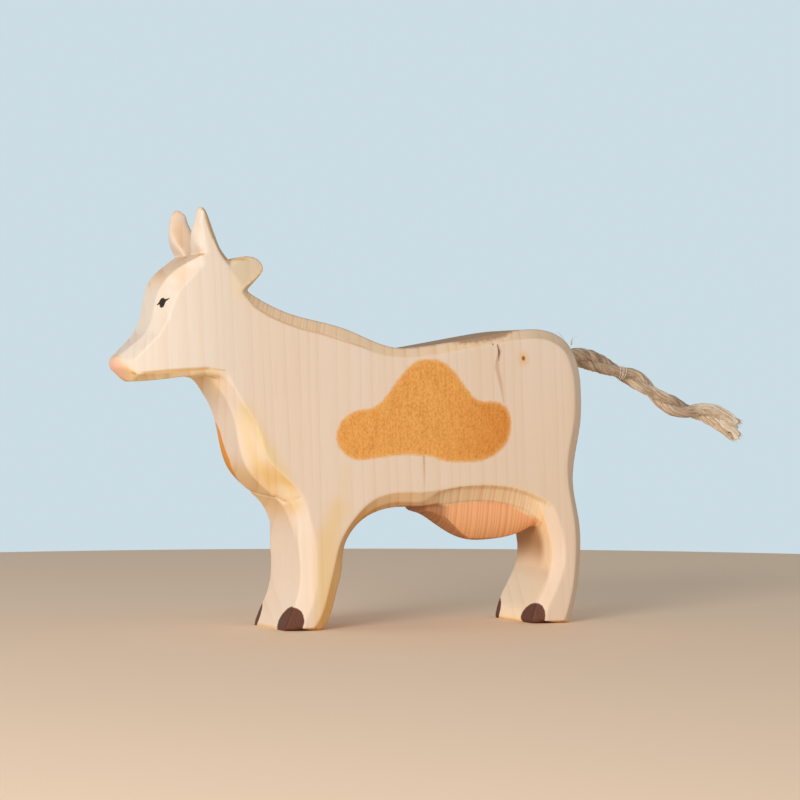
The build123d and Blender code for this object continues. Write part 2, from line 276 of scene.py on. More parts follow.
# %% Set the far feet ahead and broaden the far horn
board_edge = 14 * mm
leg_top = 26 * mm
leg_height = 20 * mm
far_feet_ahead = 0.9 * mm
across_share = np.clip((sanded[:, 1] + board_edge) / (2 * board_edge), 0, 1)
low_share = np.clip((leg_top - sanded[:, 2]) / leg_height, 0, 1)
sanded[:, 0] -= far_feet_ahead * across_share**1.5 * low_share

horn_table = np.array([  # height, front edge, back edge, move of the front, move of the back
    (101.6, -45.3, -38.5, 0.0, 0.0),
    (103.6, -46.3, -39.8, -0.18, 0.1),
    (106.4, -46.9, -41.0, -0.6, 0.35),
    (109.1, -46.7, -42.1, -0.78, 0.75),
    (110.5, -46.4, -42.6, -0.8, 0.9),
    (112.0, -46.2, -43.2, -0.5, 1.15),
    (113.0, -46.1, -43.8, -0.25, 1.15),
    (113.7, -46.0, -44.3, -0.1, 0.85),
    (114.2, -46.0, -44.6, 0.0, 0.5),
])
horn_foot, tip_start, tip_height, tip_rise = 101.6, 110, 3, 0.45
level = sanded[:, 2] / mm
horn_front, horn_back, move_front, move_back = (
    np.interp(level, horn_table[:, 0], column) for column in horn_table.T[1:]
)
across_horn = np.clip((sanded[:, 0] / mm - horn_front) / (horn_back - horn_front), 0, 1)
on_far_horn = (sanded[:, 1] > 1 * mm) & (sanded[:, 0] < -36 * mm) & (level > horn_foot)
tip_share = np.clip((level - tip_start) / tip_height, 0, 1)
sanded[:, 0] += on_far_horn * (move_front * (1 - across_horn) + move_back * across_horn) * mm
sanded[:, 2] += on_far_horn * tip_rise * mm * tip_share * (1 - (2 * across_horn - 1) ** 2)
cow.data.vertices.foreach_set("co", sanded.astype(np.float32).ravel())
cow.data.update()
print("broader horn over", int(on_far_horn.sum()), "points")

# %% [markdown]
# ## A thinner net
#
# The even net has many more faces than the flat sides of a board need. Thinning keeps small faces
# where the surface bends and merges them where it is flat. The large flat faces then rule the
# shading, so that every ridge between two cuts stays crisp.

# %% Thin the net
triangles_kept = 196000
apply_modifier(cow, "DECIMATE", ratio=triangles_kept / triangle_count(cow))
bpy.ops.object.shade_smooth()
apply_modifier(cow, "WEIGHTED_NORMAL", mode="FACE_AREA", weight=50)
print("thinned body", triangle_count(cow), "triangles")

# %% [markdown]
# ## Where the stain goes
#
# The marks on the wood are not separate pieces. They were brushed on by hand, so each one is an
# outline drawn over the side view or the top view. For every point of the body the lesson stores
# how deep it lies inside the outline. A material can then turn that depth into an edge as crisp
# or as soft as the real brush left it, which a colour stored in the points could not do.

# %% Helpers for outlines
body_points = read_points(cow)
side_view = body_points[:, [0, 2]]
across = body_points[:, 1]


def closed_curve(corners, steps=6):
    """A smooth closed line through given corners, which are in millimetres."""
    corners = np.array(corners, float) * mm
    points = []
    for index in range(len(corners)):
        a, b, c, d = (corners[(index + shift) % len(corners)] for shift in (-1, 0, 1, 2))
        for t in np.arange(steps) / steps:
            bend = (2 * a - 5 * b + 4 * c - d) * t**2 + (3 * b - a - 3 * c + d) * t**3
            points.append((2 * b + (c - a) * t + bend) / 2)
    return np.array(points)


def depth_inside(places, loop):
    """How deep each place of a flat view lies inside a loop, negative outside."""
    line = np.vstack([loop, loop[:1]])
    inside = np.zeros(len(places), bool)
    for (x1, z1), (x2, z2) in zip(line, line[1:]):
        if z1 != z2:
            level = (z1 <= places[:, 1]) != (z2 <= places[:, 1])
            crossing = x1 + (places[:, 1] - z1) * (x2 - x1) / (z2 - z1)
            inside ^= level & (places[:, 0] < crossing)
    return distance_to_line(places, line) * np.where(inside, 1, -1)


def read_line(places, line):
    """Reads a line of places and values, in millimetres, at each of these places."""
    listed, values = np.array(line).T * mm
    return np.interp(places, listed, values)


def store(name, values):
    """Keeps one number for every point of the body under a name that materials can read."""
    layer = cow.data.attributes.new(name, "FLOAT", "POINT")
    layer.data.foreach_set("value", np.asarray(values, np.float32))
    print("stored", name, "on", int((np.asarray(values) > 0).sum()), "points")


# %% [markdown]
# ## The patches
#
# One patch lies on the near flank. One comes over the back from the far side, and one covers the
# far side of the chest, so that only its edge shows from the near side. The corners were set
# against the photograph, and a smooth line runs through them. A patch that goes round an edge
# of the board has a second limit as well, from above or across the chest.

# %% The patches
near_patch = [
    (-7.4, 52.7), (-5.6, 56.9), (-1.6, 59.5), (2.9, 60.2), (6.4, 62.6), (10.9, 68.5),
    (15.0, 72.5), (19.0, 73.6), (23.6, 73.0), (27.7, 69.8), (30.4, 66.1), (33.2, 63.1),
    (36.0, 62.0), (39.6, 62.0), (42.9, 60.2), (44.3, 56.3), (43.4, 51.3), (40.1, 47.8),
    (36.0, 45.8), (30.4, 45.2), (24.5, 45.6), (19.5, 46.9), (13.1, 47.4), (6.4, 46.8),
    (-0.3, 46.1), (-3.8, 46.9), (-6.5, 49.4),
]
far_back_patch = [
    (15.0, 64.0), (17.0, 71.0), (17.5, 80.0), (20.0, 88.0), (36.0, 90.0), (52.0, 89.0),
    (56.0, 80.0), (55.0, 72.0), (50.5, 66.5), (44.0, 65.0), (38.5, 67.5), (33.0, 65.0),
    (27.5, 60.5), (20.5, 59.5),
]
far_chest_patch = [
    (-46.0, 66.0), (-36.0, 60.0), (-28.5, 61.5), (-20.5, 60.0), (-15.5, 54.0), (-16.0, 46.5),
    (-20.5, 41.5), (-23.5, 36.0), (-30.0, 30.0), (-46.0, 34.0),
]
back_outline = [
    (13.5, 14.0), (15.0, 3.0), (19.5, -6.5), (26.0, -11.6), (34.0, -13.0), (44.0, -12.6),
    (51.0, -8.5), (55.5, 0.0), (57.5, 10.0), (52.0, 20.0), (34.0, 22.0), (18.0, 20.0),
]
chest_line = [
    (35.0, 12.5), (37.6, 10.4), (41.9, 5.6), (46.0, 3.3), (50.4, 4.9), (54.2, 5.9), (56.6, 8.5), (60.0, 11.5),
]
near = np.minimum(depth_inside(side_view, closed_curve(near_patch)), -across)
top_view = body_points[:, :2]
on_back = depth_inside(top_view, closed_curve(back_outline))
back = np.minimum(depth_inside(side_view, closed_curve(far_back_patch)), on_back)
chest_edge = read_line(body_points[:, 2], chest_line)
chest = np.minimum(depth_inside(side_view, closed_curve(far_chest_patch)), across - chest_edge)
store("patch", np.maximum(near, np.maximum(back, chest)))
store("far_patches", np.maximum(back, chest))

# %% [markdown]
# ## Hooves, nose and udder
#
# A hoof is a rounded blot of dark stain that wraps round the front corner of a leg block. It is
# an oblong with round corners, measured with the bevel laid out flat, so that it doesn't break at
# the edge. The stain of the nose ends at a bent line across the muzzle. The stain of the udder
# follows its cuts, and the cut that looks forward has a slanting edge of its own, below which it
# gets a painted shade.

# %% The hooves, the nose and the udder
def hoof(corner, side, apex, inward, outward, height, widest):
    """A rounded blot of stain round one front corner of a leg block, in millimetres."""
    flat_until, bevel_stretch = 12, 2.4
    reach_ahead, reach_behind = 2.5, 3.9
    roundness, size, elsewhere = 1.8, 4.5, 9.0
    past_bevel = abs(across) - flat_until * mm
    behind_corner = body_points[:, 0] - corner * mm
    off_block = np.maximum(behind_corner - reach_behind * mm, 0)
    off_block = off_block + np.maximum(-reach_ahead * mm - behind_corner, 0)
    offset = np.where(past_bevel > 0, bevel_stretch * past_bevel, past_bevel) - apex * mm
    share = np.where(offset < 0, -offset / (inward * mm), offset / (outward * mm))
    share = share + off_block / (outward * mm)
    lift = body_points[:, 2] / mm - widest
    rise = np.where(lift > 0, lift / (height - widest), -lift / (2.1 * widest))
    bent = share**roundness + rise**roundness
    bent = np.where(across * side > 0, bent, elsewhere)
    return (1 - bent ** (1 / roundness)) * size * mm


hooves = [
    hoof(-21.3, -1, -1.0, 5.8, 6.1, 6.5, 2.2),
    hoof(-22.2, 1, 0.6, 3.4, 3.4, 6.3, 2.4),
    hoof(51.6, -1, -0.1, 7.3, 4.5, 5.7, 1.6),
    hoof(50.7, 1, 0.6, 3.4, 3.4, 5.9, 2.4),
]
store("hoof", np.max(hooves, axis=0))

nose_line = [(66.0, -62.6), (68.6, -63.2), (70.7, -64.4), (73.0, -65.9), (75.0, -66.4)]
above_nose = body_points[:, 2] > 75 * mm
nose_side = read_line(body_points[:, 2], nose_line) - body_points[:, 0]
store("nose", np.where(above_nose, -10 * mm, nose_side))

udder_outline = [
    (13.0, 36.0), (19.5, 35.2), (24.6, 33.8), (27.4, 33.2), (30.2, 33.7), (34.0, 34.0), (39.7, 34.2),
    (45.6, 33.3), (50.5, 31.0), (56.0, 27.0), (50.0, 18.0), (38.0, 16.0), (24.0, 22.0), (14.0, 30.0),
]
udder_half_width = 9.6 * mm
store("udder", np.minimum(
    depth_inside(side_view, closed_curve(udder_outline)), udder_half_width - abs(across)))
# the slanting edge below which the udder's forward cut gets a painted shade
udder_ridge = [
    (14.0, 34.6), (18.7, 33.4), (24.0, 31.9), (27.0, 30.4), (29.7, 28.0), (32.7, 25.7), (36.0, 23.6),
]
store("udder_front_shade", read_line(body_points[:, 0], udder_ridge) - body_points[:, 2])

# %% [markdown]
# ## Resin and amber edges
#
# Some colour follows lines instead of outlines. Resin has turned the wood honey yellow up the
# back edge of the front legs, and a cream streak runs down the chest. Thin amber lines run along
# the jaw, the brow, the horn and the ear, and along the rear edges of the horn and the ear they
# are painted shade. Each line has a half width in millimetres and its corners. A half width below
# zero leaves a line that is only ever faint.

# %% Resin and amber edges
def near_lines(marks):
    """How deep each point lies inside the nearest of several soft lines."""
    depths = [
        width * mm - distance_to_line(body_points, np.array(line, float) * mm) for width, line in marks
    ]
    return np.max(depths, axis=0)


store("honey", near_lines([
    (1.8, [(-10.4, -14.0, 2.0), (-10.4, -14.0, 18.0), (-9.4, -14.0, 25.5)]),
    (1.1, [(-9.4, -14.0, 25.5), (-6.5, -14.0, 33.0)]),
    (-1.5, [(-6.8, -14.0, 32.0), (-5.0, -14.0, 38.0), (-4.4, -14.0, 44.0)]),
]))
store("cream", near_lines([
    (0.8, [(-33.2, -13.2, 59.7), (-28.6, -13.9, 51.7), (-23.6, -14.0, 43.6), (-18.5, -12.5, 34.0)]),
    (1.3, [(-34.0, -12.0, 56.5), (-32.6, -12.0, 51.0), (-29.0, -12.0, 44.5), (-25.0, -12.0, 39.5)]),
]))
jaw_edge = [(-63.6, -7.0, 69.4), (-60.1, -10.2, 69.6), (-55.1, -11.8, 70.1), (-49.9, -12.9, 70.5)]
horn_edge = [(-44.3, -13.0, 113.0), (-44.0, -13.7, 110.9), (-42.7, -13.8, 107.2), (-40.8, -13.6, 103.5)]
ear_edge = [(-37.0, -12.6, 100.0), (-31.5, -12.6, 100.2), (-28.6, -12.6, 97.0), (-29.6, -12.6, 94.0)]
brow_edge = [(-45.2, 11.0, 101.1), (-45.2, -3.7, 101.1), (-45.1, -13.6, 101.2)]
store("amber", near_lines([
    (0.35, jaw_edge + [(-43.7, -13.7, 70.8)]),
    (0.12, [(-43.7, -13.7, 70.8), (-39.2, -14.0, 70.3)]),
    # painted shade along the rear edges of the horn and the ear
    (0.55, horn_edge + [(-38.5, -13.0, 100.2)]),
    (0.25, ear_edge),
    (0.30, brow_edge),
]))

# %% [markdown]
# ## Tools for materials
#
# Wood grain, stain edges and brush strokes turn up in more than one material, so each is a node
# group that is built once. A group only works out masks and numbers. The shader that they feed
# stays in each material.

# %% Helpers for nodes
def feed(tree, node, inputs):
    """Links each input to a socket, or sets it to a value."""
    for socket, value in inputs.items():
        if isinstance(value, bpy.types.NodeSocket):
            tree.links.new(value, node.inputs[socket])
        else:
            node.inputs[socket].default_value = value
    return node


def put(tree, kind, inputs=None, **settings):
    """Adds a node, sets its options, and feeds its inputs."""
    made = tree.nodes.new("ShaderNode" + kind)
    for name, value in settings.items():
        setattr(made, name, value)
    return feed(tree, made, inputs or {})


def calc(tree, operation, *values):
    """A sum on one, two or three numbers."""
    return put(tree, "Math", dict(enumerate(values)), operation=operation).outputs[0]


def product(tree, first, *others):
    """Shares multiplied together, which leaves the part where all of them hold."""
    for other in others:
        first = calc(tree, "MULTIPLY", first, other)
    return first


def fade(tree, value, low, high):
    """0 below low, 1 above high, and a smooth rise between them."""
    inputs = {"Value": value, "From Min": low, "From Max": high}
    return put(tree, "MapRange", inputs, interpolation_type="SMOOTHSTEP").outputs[0]


def blend(tree, share, first, second, how="MIX"):
    """The first colour, turned into the second by a share."""
    inputs = {0: share, 6: first, 7: second}
    return put(tree, "Mix", inputs, data_type="RGBA", blend_type=how).outputs[2]


def tint(tree, share, colour, factor):
    """The colour, multiplied by another one by a share."""
    return blend(tree, share, colour, factor, "MULTIPLY")


def stored(tree, name):
    """The number kept under this name at each point."""
    return put(tree, "Attribute", attribute_name=name).outputs["Fac"]


def noise(tree, vector, scale, detail=2.0, roughness=0.5):
    """An even random field, from 0 to 1."""
    inputs = {"Vector": vector, "Scale": scale, "Detail": detail, "Roughness": roughness}
    return put(tree, "TexNoise", inputs).outputs["Fac"]


def stretched(tree, vector, scale=(1, 1, 1), location=(0, 0, 0), rotation=(0, 0, 0)):
    """The same places, moved, turned and scaled."""
    inputs = {"Vector": vector, "Location": location, "Rotation": rotation, "Scale": scale}
    return put(tree, "Mapping", inputs).outputs[0]


def new_group(name, inputs, outputs):
    """An empty node group with named sockets: each input is a name, a kind and a value."""
    tree = bpy.data.node_groups.new(name, "ShaderNodeTree")
    for label, kind, value in inputs:
        socket = tree.interface.new_socket(label, in_out="INPUT", socket_type="NodeSocket" + kind)
        if value is not None:
            socket.default_value = value
    for label, kind in outputs:
        tree.interface.new_socket(label, in_out="OUTPUT", socket_type="NodeSocket" + kind)
    return tree, tree.nodes.new("NodeGroupInput").outputs, tree.nodes.new("NodeGroupOutput")


def use_group(tree, group, inputs):
    """Places a group in a material with its own values."""
    return feed(tree, put(tree, "Group", node_tree=group), inputs).outputs


def new_material(name):
    """A material with only its shader, and that shader."""
    material = bpy.data.materials.new(name)
    material.use_nodes = True
    return material, material.node_tree, material.node_tree.nodes["Principled BSDF"]


# %% [markdown]
# ## Growth rings
#
# A tree adds a pale band each spring and a thin dark one each autumn. A board cut across its
# heart shows them as lines that run along the grain. Here the grain stands upright, so that the
# legs are strong. The rings are shells round the heart of the tree, some way behind the cow: the
# group measures the distance from it, and repeats a profile that darkens slowly and ends sharply.

# %% The growth ring group
rings, given, result = new_group(
    "growth_rings",
    [("Vector", "Vector", None), ("Ring Width", "Float", 0.003), ("Wobble", "Float", 0.001)],
    [("Late Wood", "Float"), ("Tone", "Float"), ("Fibre", "Float")],
)
drift = noise(rings, stretched(rings, given["Vector"], (1, 1, 0.18)), 28, 1.0)
flat = put(rings, "VectorMath", {0: given["Vector"], 1: (1, 1, 0)}, operation="MULTIPLY").outputs[0]
reach = put(rings, "VectorMath", {0: flat}, operation="LENGTH").outputs["Value"]
reach = calc(rings, "MULTIPLY_ADD", calc(rings, "SUBTRACT", drift, 0.5), given["Wobble"], reach)
count = calc(rings, "DIVIDE", reach, given["Ring Width"])
uneven = put(rings, "TexNoise", {"W": count, "Scale": 0.31, "Detail": 1.0}, noise_dimensions="1D")
count = calc(rings, "MULTIPLY_ADD", uneven.outputs["Fac"], 2.4, count)
part = calc(rings, "FRACT", count)
late = calc(rings, "MULTIPLY", calc(rings, "POWER", part, 3.0), fade(rings, part, 1.0, 0.9))
rings.links.new(late, result.inputs["Late Wood"])
year = put(rings, "TexNoise", {"W": count, "Scale": 0.5, "Detail": 2.0}, noise_dimensions="1D")
rings.links.new(year.outputs["Fac"], result.inputs["Tone"])
fibre = noise(rings, stretched(rings, given["Vector"], (1, 1, 0.035)), 1900, 3.0, 0.6)
rings.links.new(fibre, result.inputs["Fibre"])
print("growth rings", len(rings.nodes), "nodes")

# %% [markdown]
# ## A brush stroke
#
# The eye is a few touches of a fine brush: a rounded dot, its corner, and a lash that ends in a
# point. A stroke is everything that lies nearer to a line than the brush is wide, and the brush
# may lift along the way. The same tool draws the thin dark lines in the wood.

# %% The brush stroke group
stroke, given, result = new_group(
    "brush_stroke",
    [("Vector", "Vector", None), ("From", "Vector", None), ("To", "Vector", None),
     ("First Width", "Float", 0.001), ("Last Width", "Float", 0.001)],
    [("Depth", "Float")],
)
here = put(stroke, "VectorMath", {0: given["Vector"], 1: given["From"]}, operation="SUBTRACT").outputs[0]
whole = put(stroke, "VectorMath", {0: given["To"], 1: given["From"]}, operation="SUBTRACT").outputs[0]
along = put(stroke, "VectorMath", {0: here, 1: whole}, operation="DOT_PRODUCT").outputs["Value"]
square = put(stroke, "VectorMath", {0: whole, 1: whole}, operation="DOT_PRODUCT").outputs["Value"]
share = put(stroke, "Clamp", {"Value": calc(stroke, "DIVIDE", along, square)}).outputs[0]
foot = put(stroke, "VectorMath", {0: whole, "Scale": share}, operation="SCALE").outputs[0]
gap = put(stroke, "VectorMath", {0: here, 1: foot}, operation="DISTANCE").outputs["Value"]
widths = {"Value": share, "To Min": given["First Width"], "To Max": given["Last Width"]}
width = put(stroke, "MapRange", widths)
stroke.links.new(calc(stroke, "SUBTRACT", width.outputs[0], gap), result.inputs["Depth"])
print("brush stroke", len(stroke.nodes), "nodes")

# %% [markdown]
# ## The stained softwood
#
# One material covers the whole body. It is built up in the order in which the real surface came
# about: bare wood, then what light and oil have done to it, then each stain, and the thin lines
# last. Bare wood is a pale ground with broad soft clouds. The late wood of each year draws brown
# lines over it, which are strongest where the wood was cut across the grain, because the open
# ends of the fibres soak up more oil.

# %% Bare wood
pale_wood, warm_wood, tan_wood = (0.86, 0.725, 0.605, 1), (0.82, 0.665, 0.53, 1), (0.81, 0.595, 0.39, 1)
late_wood, dark_fibre = (0.66, 0.39, 0.19, 1), (0.64, 0.40, 0.22, 1)
softwood, wood, wood_shader = new_material("stained_softwood")
at = put(wood, "TexCoord").outputs
place = at["Object"]
spot = put(wood, "SeparateXYZ", {0: place}).outputs
facing = put(wood, "SeparateXYZ", {0: at["Normal"]}).outputs
ring = use_group(wood, rings, {
    "Vector": stretched(wood, place, location=(0.21, -0.055, 0), rotation=(0, math.radians(2), 0)),
    "Ring Width": 0.0034,
    "Wobble": 0.006,
})
end_grain = fade(wood, calc(wood, "ABSOLUTE", facing["Z"]), 0.25, 0.95)
cloudy = noise(wood, stretched(wood, place, (1, 1, 0.4)), 45, 2.0)
blotchy = fade(wood, noise(wood, stretched(wood, place, (1, 1, 0.3)), 26, 2.0), 0.5, 0.75)
broken = fade(wood, noise(wood, stretched(wood, place, (1, 1, 0.14)), 70, 2.0), 0.3, 0.62)
colour = blend(wood, cloudy, pale_wood, warm_wood)
colour = blend(wood, product(wood, ring["Tone"], 0.3), colour, tan_wood)
colour = tint(wood, product(wood, blotchy, 0.6), colour, (1.0, 0.94, 0.86, 1))
line_share = product(
    wood,
    ring["Late Wood"],
    calc(wood, "MULTIPLY_ADD", end_grain, 0.55, 0.22),
    calc(wood, "MULTIPLY_ADD", broken, 0.75, 0.25),
)
colour = blend(wood, line_share, colour, late_wood)
fibre_share = product(wood, fade(wood, ring["Fibre"], 0.5, 0.8), 0.14)
colour = blend(wood, fibre_share, colour, dark_fibre)
print("bare wood", len(wood.nodes), "nodes")

# %% [markdown]
# ## Painted light and shade, and the wood's own tints
#
# No board has one colour all over, and the head, the crown, the ear, the far horn and the upper
# bevels get tints of the wood's own. The other rows paint light and shade. Cuts that look up, and
# the rump, are painted greyer and bluer as shade. Cuts that look down or back, and the soles, are
# painted yellower for warm light bounced up from the table: lighter under the belly and the jaw,
# darker behind the front legs. The front of the hind legs and their feet are painted lighter, and
# a painted shadow darkens the hind legs under the udder. Each row of the table has a colour that
# multiplies the wood's, and the limits of one such place. A limit names what is measured, where
# the place begins to show, and where it is full. Lengths are in metres, and the way a cut faces
# goes from -1 to 1.

# %% Tint the places
measured = {"x": spot["X"], "y": spot["Y"], "z": spot["Z"]}
measured.update({"faces x": facing["X"], "faces y": facing["Y"], "faces z": facing["Z"]})
tinted_places = {
    "head": ((1.0, 1.05, 1.10), [("x", -0.026, -0.044)]),
    "crown": ((1.06, 0.93, 0.78), [("faces z", 0.25, 0.55), ("x", -0.026, -0.044), ("z", 0.085, 0.095)]),
    "far horn": ((0.96, 0.90, 0.86), [("z", 0.101, 0.103), ("y", 0.002, 0.004)]),
    "ear": ((1.04, 1.01, 0.88), [("x", -0.039, -0.036), ("z", 0.088, 0.091)]),
    # painted shade: cuts that look up are made greyer and bluer
    "top": ((0.88, 0.86, 0.90), [("faces z", 0.45, 0.95)]),
    "upper bevel": (
        (1.03, 0.94, 0.80), [("faces z", 0.2, 0.4), ("faces y", -0.3, -0.6), ("x", -0.036, -0.032)]),
    # painted shade: the upper cuts of the rump are made darker and bluer
    "rump": ((0.84, 0.86, 0.90), [("faces z", 0.2, 0.4), ("x", 0.040, 0.056)]),
    # painted light: the front of the hind legs, and their feet still more, are made lighter
    "painted light on the hind legs' front": ((1.08, 1.03, 0.90), [("x", 0.040, 0.045), ("faces x", -0.65, -0.9)]),
    "painted light on the hind feet": (
        (1.05, 1.12, 1.17), [("x", 0.040, 0.045), ("faces x", -0.65, -0.9), ("z", 0.0145, 0.0100)]),
    # painted shadow: the top of the hind legs' front, under the udder, is made dark brown
    "painted shadow under the udder": ((0.50, 0.36, 0.24), [
        ("faces x", -0.7, -0.9), ("z", 0.0130, 0.0225), ("z", 0.0300, 0.0265),
        ("y", -0.0085, -0.0030), ("x", 0.040, 0.045)]),
    # painted bounce light: the cuts that look down in front of the udder are made yellower
    "painted bounce light on the belly's front": (
        (0.98, 0.85, 0.60), [("faces z", -0.2, -0.6), ("z", 0.055, 0.045), ("x", 0.026, 0.014)]),
    # painted bounce light: the jaw's lower cuts are made lighter and yellower
    "jaw": ((1.10, 1.0, 0.74), [("faces z", -0.12, -0.45), ("x", -0.036, -0.042), ("z", 0.078, 0.073)]),
    # painted bounce light: the cuts that look down over the udder are made lighter
    "painted bounce light on the belly's back": (
        (1.12, 1.10, 0.93), [("faces z", -0.15, -0.5), ("x", 0.016, 0.026), ("z", 0.055, 0.045)]),
    # painted warm shade: the back of the front legs is made darker and more orange
    "painted warm shade behind the front leg": (
        (0.98, 0.81, 0.52), [("faces x", 0.2, 0.5), ("x", 0.020, 0.010), ("z", 0.045, 0.035)]),
    # painted bounce light: a thin golden band along the soles
    "sole": ((0.95, 0.80, 0.50), [("z", 0.0010, 0.0003)]),
}
share_of = {}
for name, (factor, limits) in tinted_places.items():
    share_of[name] = product(wood, *(fade(wood, measured[key], start, full) for key, start, full in limits))
    colour = tint(wood, share_of[name], colour, (*factor, 1))
print("tinted places", len(share_of))

# %% [markdown]
# ## Resin, cream and amber
#
# The soft lines stored at the points now get their colours. Resin lies in broken streaks, so its
# yellow follows the same long patches that break up the late wood.

# %% Tint the soft lines
streaky = calc(wood, "MULTIPLY_ADD", broken, 0.35, 0.65)
honey = product(wood, fade(wood, stored(wood, "honey"), -0.0042, 0.0014), streaky)
cream = fade(wood, stored(wood, "cream"), -0.0030, 0.0014)
# amber lines, painted shade where they follow the rear edges of the horn and the ear
amber = fade(wood, stored(wood, "amber"), -0.0004, 0.0003)
colour = tint(wood, honey, colour, (1.0, 0.90, 0.60, 1))
colour = tint(wood, cream, colour, (1.0, 0.93, 0.64, 1))
colour = tint(wood, amber, colour, (0.80, 0.62, 0.38, 1))
print("wood with soft lines", len(wood.nodes), "nodes")

# %% [markdown]
# ## The stained patches
#
# The stain is thin, so the wood shows through it: it is specked where it caught on the fibres,
# redder towards the tail, and paler along its rim, where the brush was nearly dry. Where the patch
# on the back looks up it turns grey-brown, and low on the far side of the chest the patch is
# darkened with painted shade. The grain pulls every stain a little way past its edge, here and
# there.

# %% Stain the patches
orange, red_orange, rim_orange = (0.90, 0.445, 0.118, 1), (0.78, 0.32, 0.065, 1), (0.88, 0.49, 0.18, 1)
grey_brown, chest_orange, chest_shade_brown = (0.42, 0.26, 0.155, 1), (0.78, 0.31, 0.04, 1), (0.36, 0.15, 0.05, 1)
ragged = noise(wood, place, 900, 3.0, 0.6)
uneven_edge = product(wood, calc(wood, "SUBTRACT", ragged, 0.5), 0.0006)
patch_depth = calc(wood, "ADD", stored(wood, "patch"), uneven_edge)
towards_tail = fade(wood, spot["X"], 0.022, 0.044)
specks = fade(wood, noise(wood, stretched(wood, place, (1, 1, 0.6)), 2600, 4.0, 0.75), 0.40, 0.66)
streaks = fade(wood, noise(wood, stretched(wood, place, (1, 1, 0.12)), 1300, 3.0, 0.6), 0.45, 0.65)
patch_rim = fade(wood, patch_depth, 0.0014, 0.0)
patch_colour = blend(wood, towards_tail, orange, red_orange)
patch_colour = tint(wood, specks, patch_colour, (0.78, 0.65, 0.48, 1))
patch_colour = tint(wood, product(wood, streaks, 0.7), patch_colour, (0.90, 0.82, 0.70, 1))
patch_colour = blend(wood, product(wood, patch_rim, 0.5), patch_colour, rim_orange)

far_patch_wrap = fade(wood, stored(wood, "far_patches"), -0.0012, -0.0006)
far_patch_wrap = product(wood, far_patch_wrap, fade(wood, facing["Y"], 0.8, 0.5))
on_top = product(wood, far_patch_wrap, fade(wood, spot["X"], -0.01, 0.0))
low_chest = product(wood, far_patch_wrap, fade(wood, spot["X"], 0.0, -0.01))
# painted shade: low on the far side of the chest the patch is made dark brown
shaded_outer_chest = product(wood, fade(wood, spot["Y"], 0.005, 0.012), fade(wood, spot["Z"], 0.052, 0.042))
shaded_outer_chest = product(wood, low_chest, shaded_outer_chest)
patch_colour = blend(wood, on_top, patch_colour, grey_brown)
patch_colour = blend(wood, low_chest, patch_colour, chest_orange)
patch_colour = blend(wood, shaded_outer_chest, patch_colour, chest_shade_brown)
fuzzy = calc(wood, "MULTIPLY_ADD", uneven_edge, 0.8, patch_depth)
colour = blend(wood, fade(wood, fuzzy, -0.0005, 0.0005), colour, patch_colour)
print("wood with patches", len(wood.nodes), "nodes")

# %% [markdown]
# ## The udder, and lines that stand close
#
# The cuts along the neck, the belly and the udder meet the rings at another angle, so that their
# lines stand only about a millimetre apart. A second use of the ring group draws them. The stain
# of the udder is thin too, and these lines show through it. Its forward cut is made much darker
# with painted shade.

# %% Stain the udder
udder_orange, udder_line = (0.93, 0.45, 0.195, 1), (0.66, 0.26, 0.09, 1)
close_ring = use_group(wood, rings, {
    "Vector": stretched(wood, place, location=(0.11, -0.03, 0), rotation=(0, math.radians(-4), 0)),
    "Ring Width": 0.00114,
    "Wobble": 0.0015,
})
close_line = close_ring["Late Wood"]
neck_lines = product(wood, close_line, share_of["upper bevel"], fade(wood, spot["X"], 0.0, -0.015), 0.5)
belly_lines = product(wood, close_line, share_of["painted bounce light on the belly's back"], 0.45)
colour = blend(wood, neck_lines, colour, (0.52, 0.31, 0.16, 1))
colour = blend(wood, belly_lines, colour, (0.60, 0.34, 0.15, 1))

udder_depth = calc(wood, "ADD", stored(wood, "udder"), uneven_edge)
udder_share = product(wood, fade(wood, udder_depth, -0.0005, 0.0007), 0.88)
# painted shade: the udder's forward cut, where it looks down, is made much darker
udder_front_shade = fade(wood, calc(wood, "ADD", stored(wood, "udder_front_shade"), uneven_edge), -0.0002, 0.0003)
udder_front_shade = product(wood, udder_front_shade, fade(wood, facing["Z"], -0.1, -0.3))
udder_front_shade = calc(wood, "MAXIMUM", udder_front_shade, fade(wood, spot["X"], 0.0290, 0.0255))
udder_colour = blend(wood, close_line, udder_orange, udder_line)
udder_colour = tint(wood, udder_front_shade, udder_colour, (0.50, 0.42, 0.33, 1))
colour = blend(wood, udder_share, colour, udder_colour)
print("wood with udder", len(wood.nodes), "nodes")

# %% [markdown]
# ## The nose and the hooves
#
# The nose has a pink stain that ran a little into the wood and left a yellow fringe. The hooves
# have a nearly black brown that was laid on thick, with lighter brown specks in it that are
# painted glints.

# %% Stain the nose and the hooves
nose_depth = calc(wood, "MULTIPLY_ADD", uneven_edge, 1.6, stored(wood, "nose"))
nose_share = product(wood, fade(wood, nose_depth, -0.0009, 0.0007), 0.85)
colour = tint(wood, fade(wood, nose_depth, -0.0016, -0.0004), colour, (1.0, 0.93, 0.74, 1))
colour = blend(wood, nose_share, colour, (0.90, 0.51, 0.37, 1))

hoof_black, hoof_glint_brown = (0.043, 0.0085, 0.0023, 1), (0.178, 0.051, 0.0152, 1)
hoof_depth = calc(wood, "ADD", stored(wood, "hoof"), uneven_edge)
# painted glints: lighter brown specks over the nearly black stain
hoof_colour = blend(wood, noise(wood, place, 2200, 3.0, 0.7), hoof_black, hoof_glint_brown)
colour = blend(wood, fade(wood, hoof_depth, -0.0002, 0.0002), colour, hoof_colour)
print("wood with nose and hooves", len(wood.nodes), "nodes")

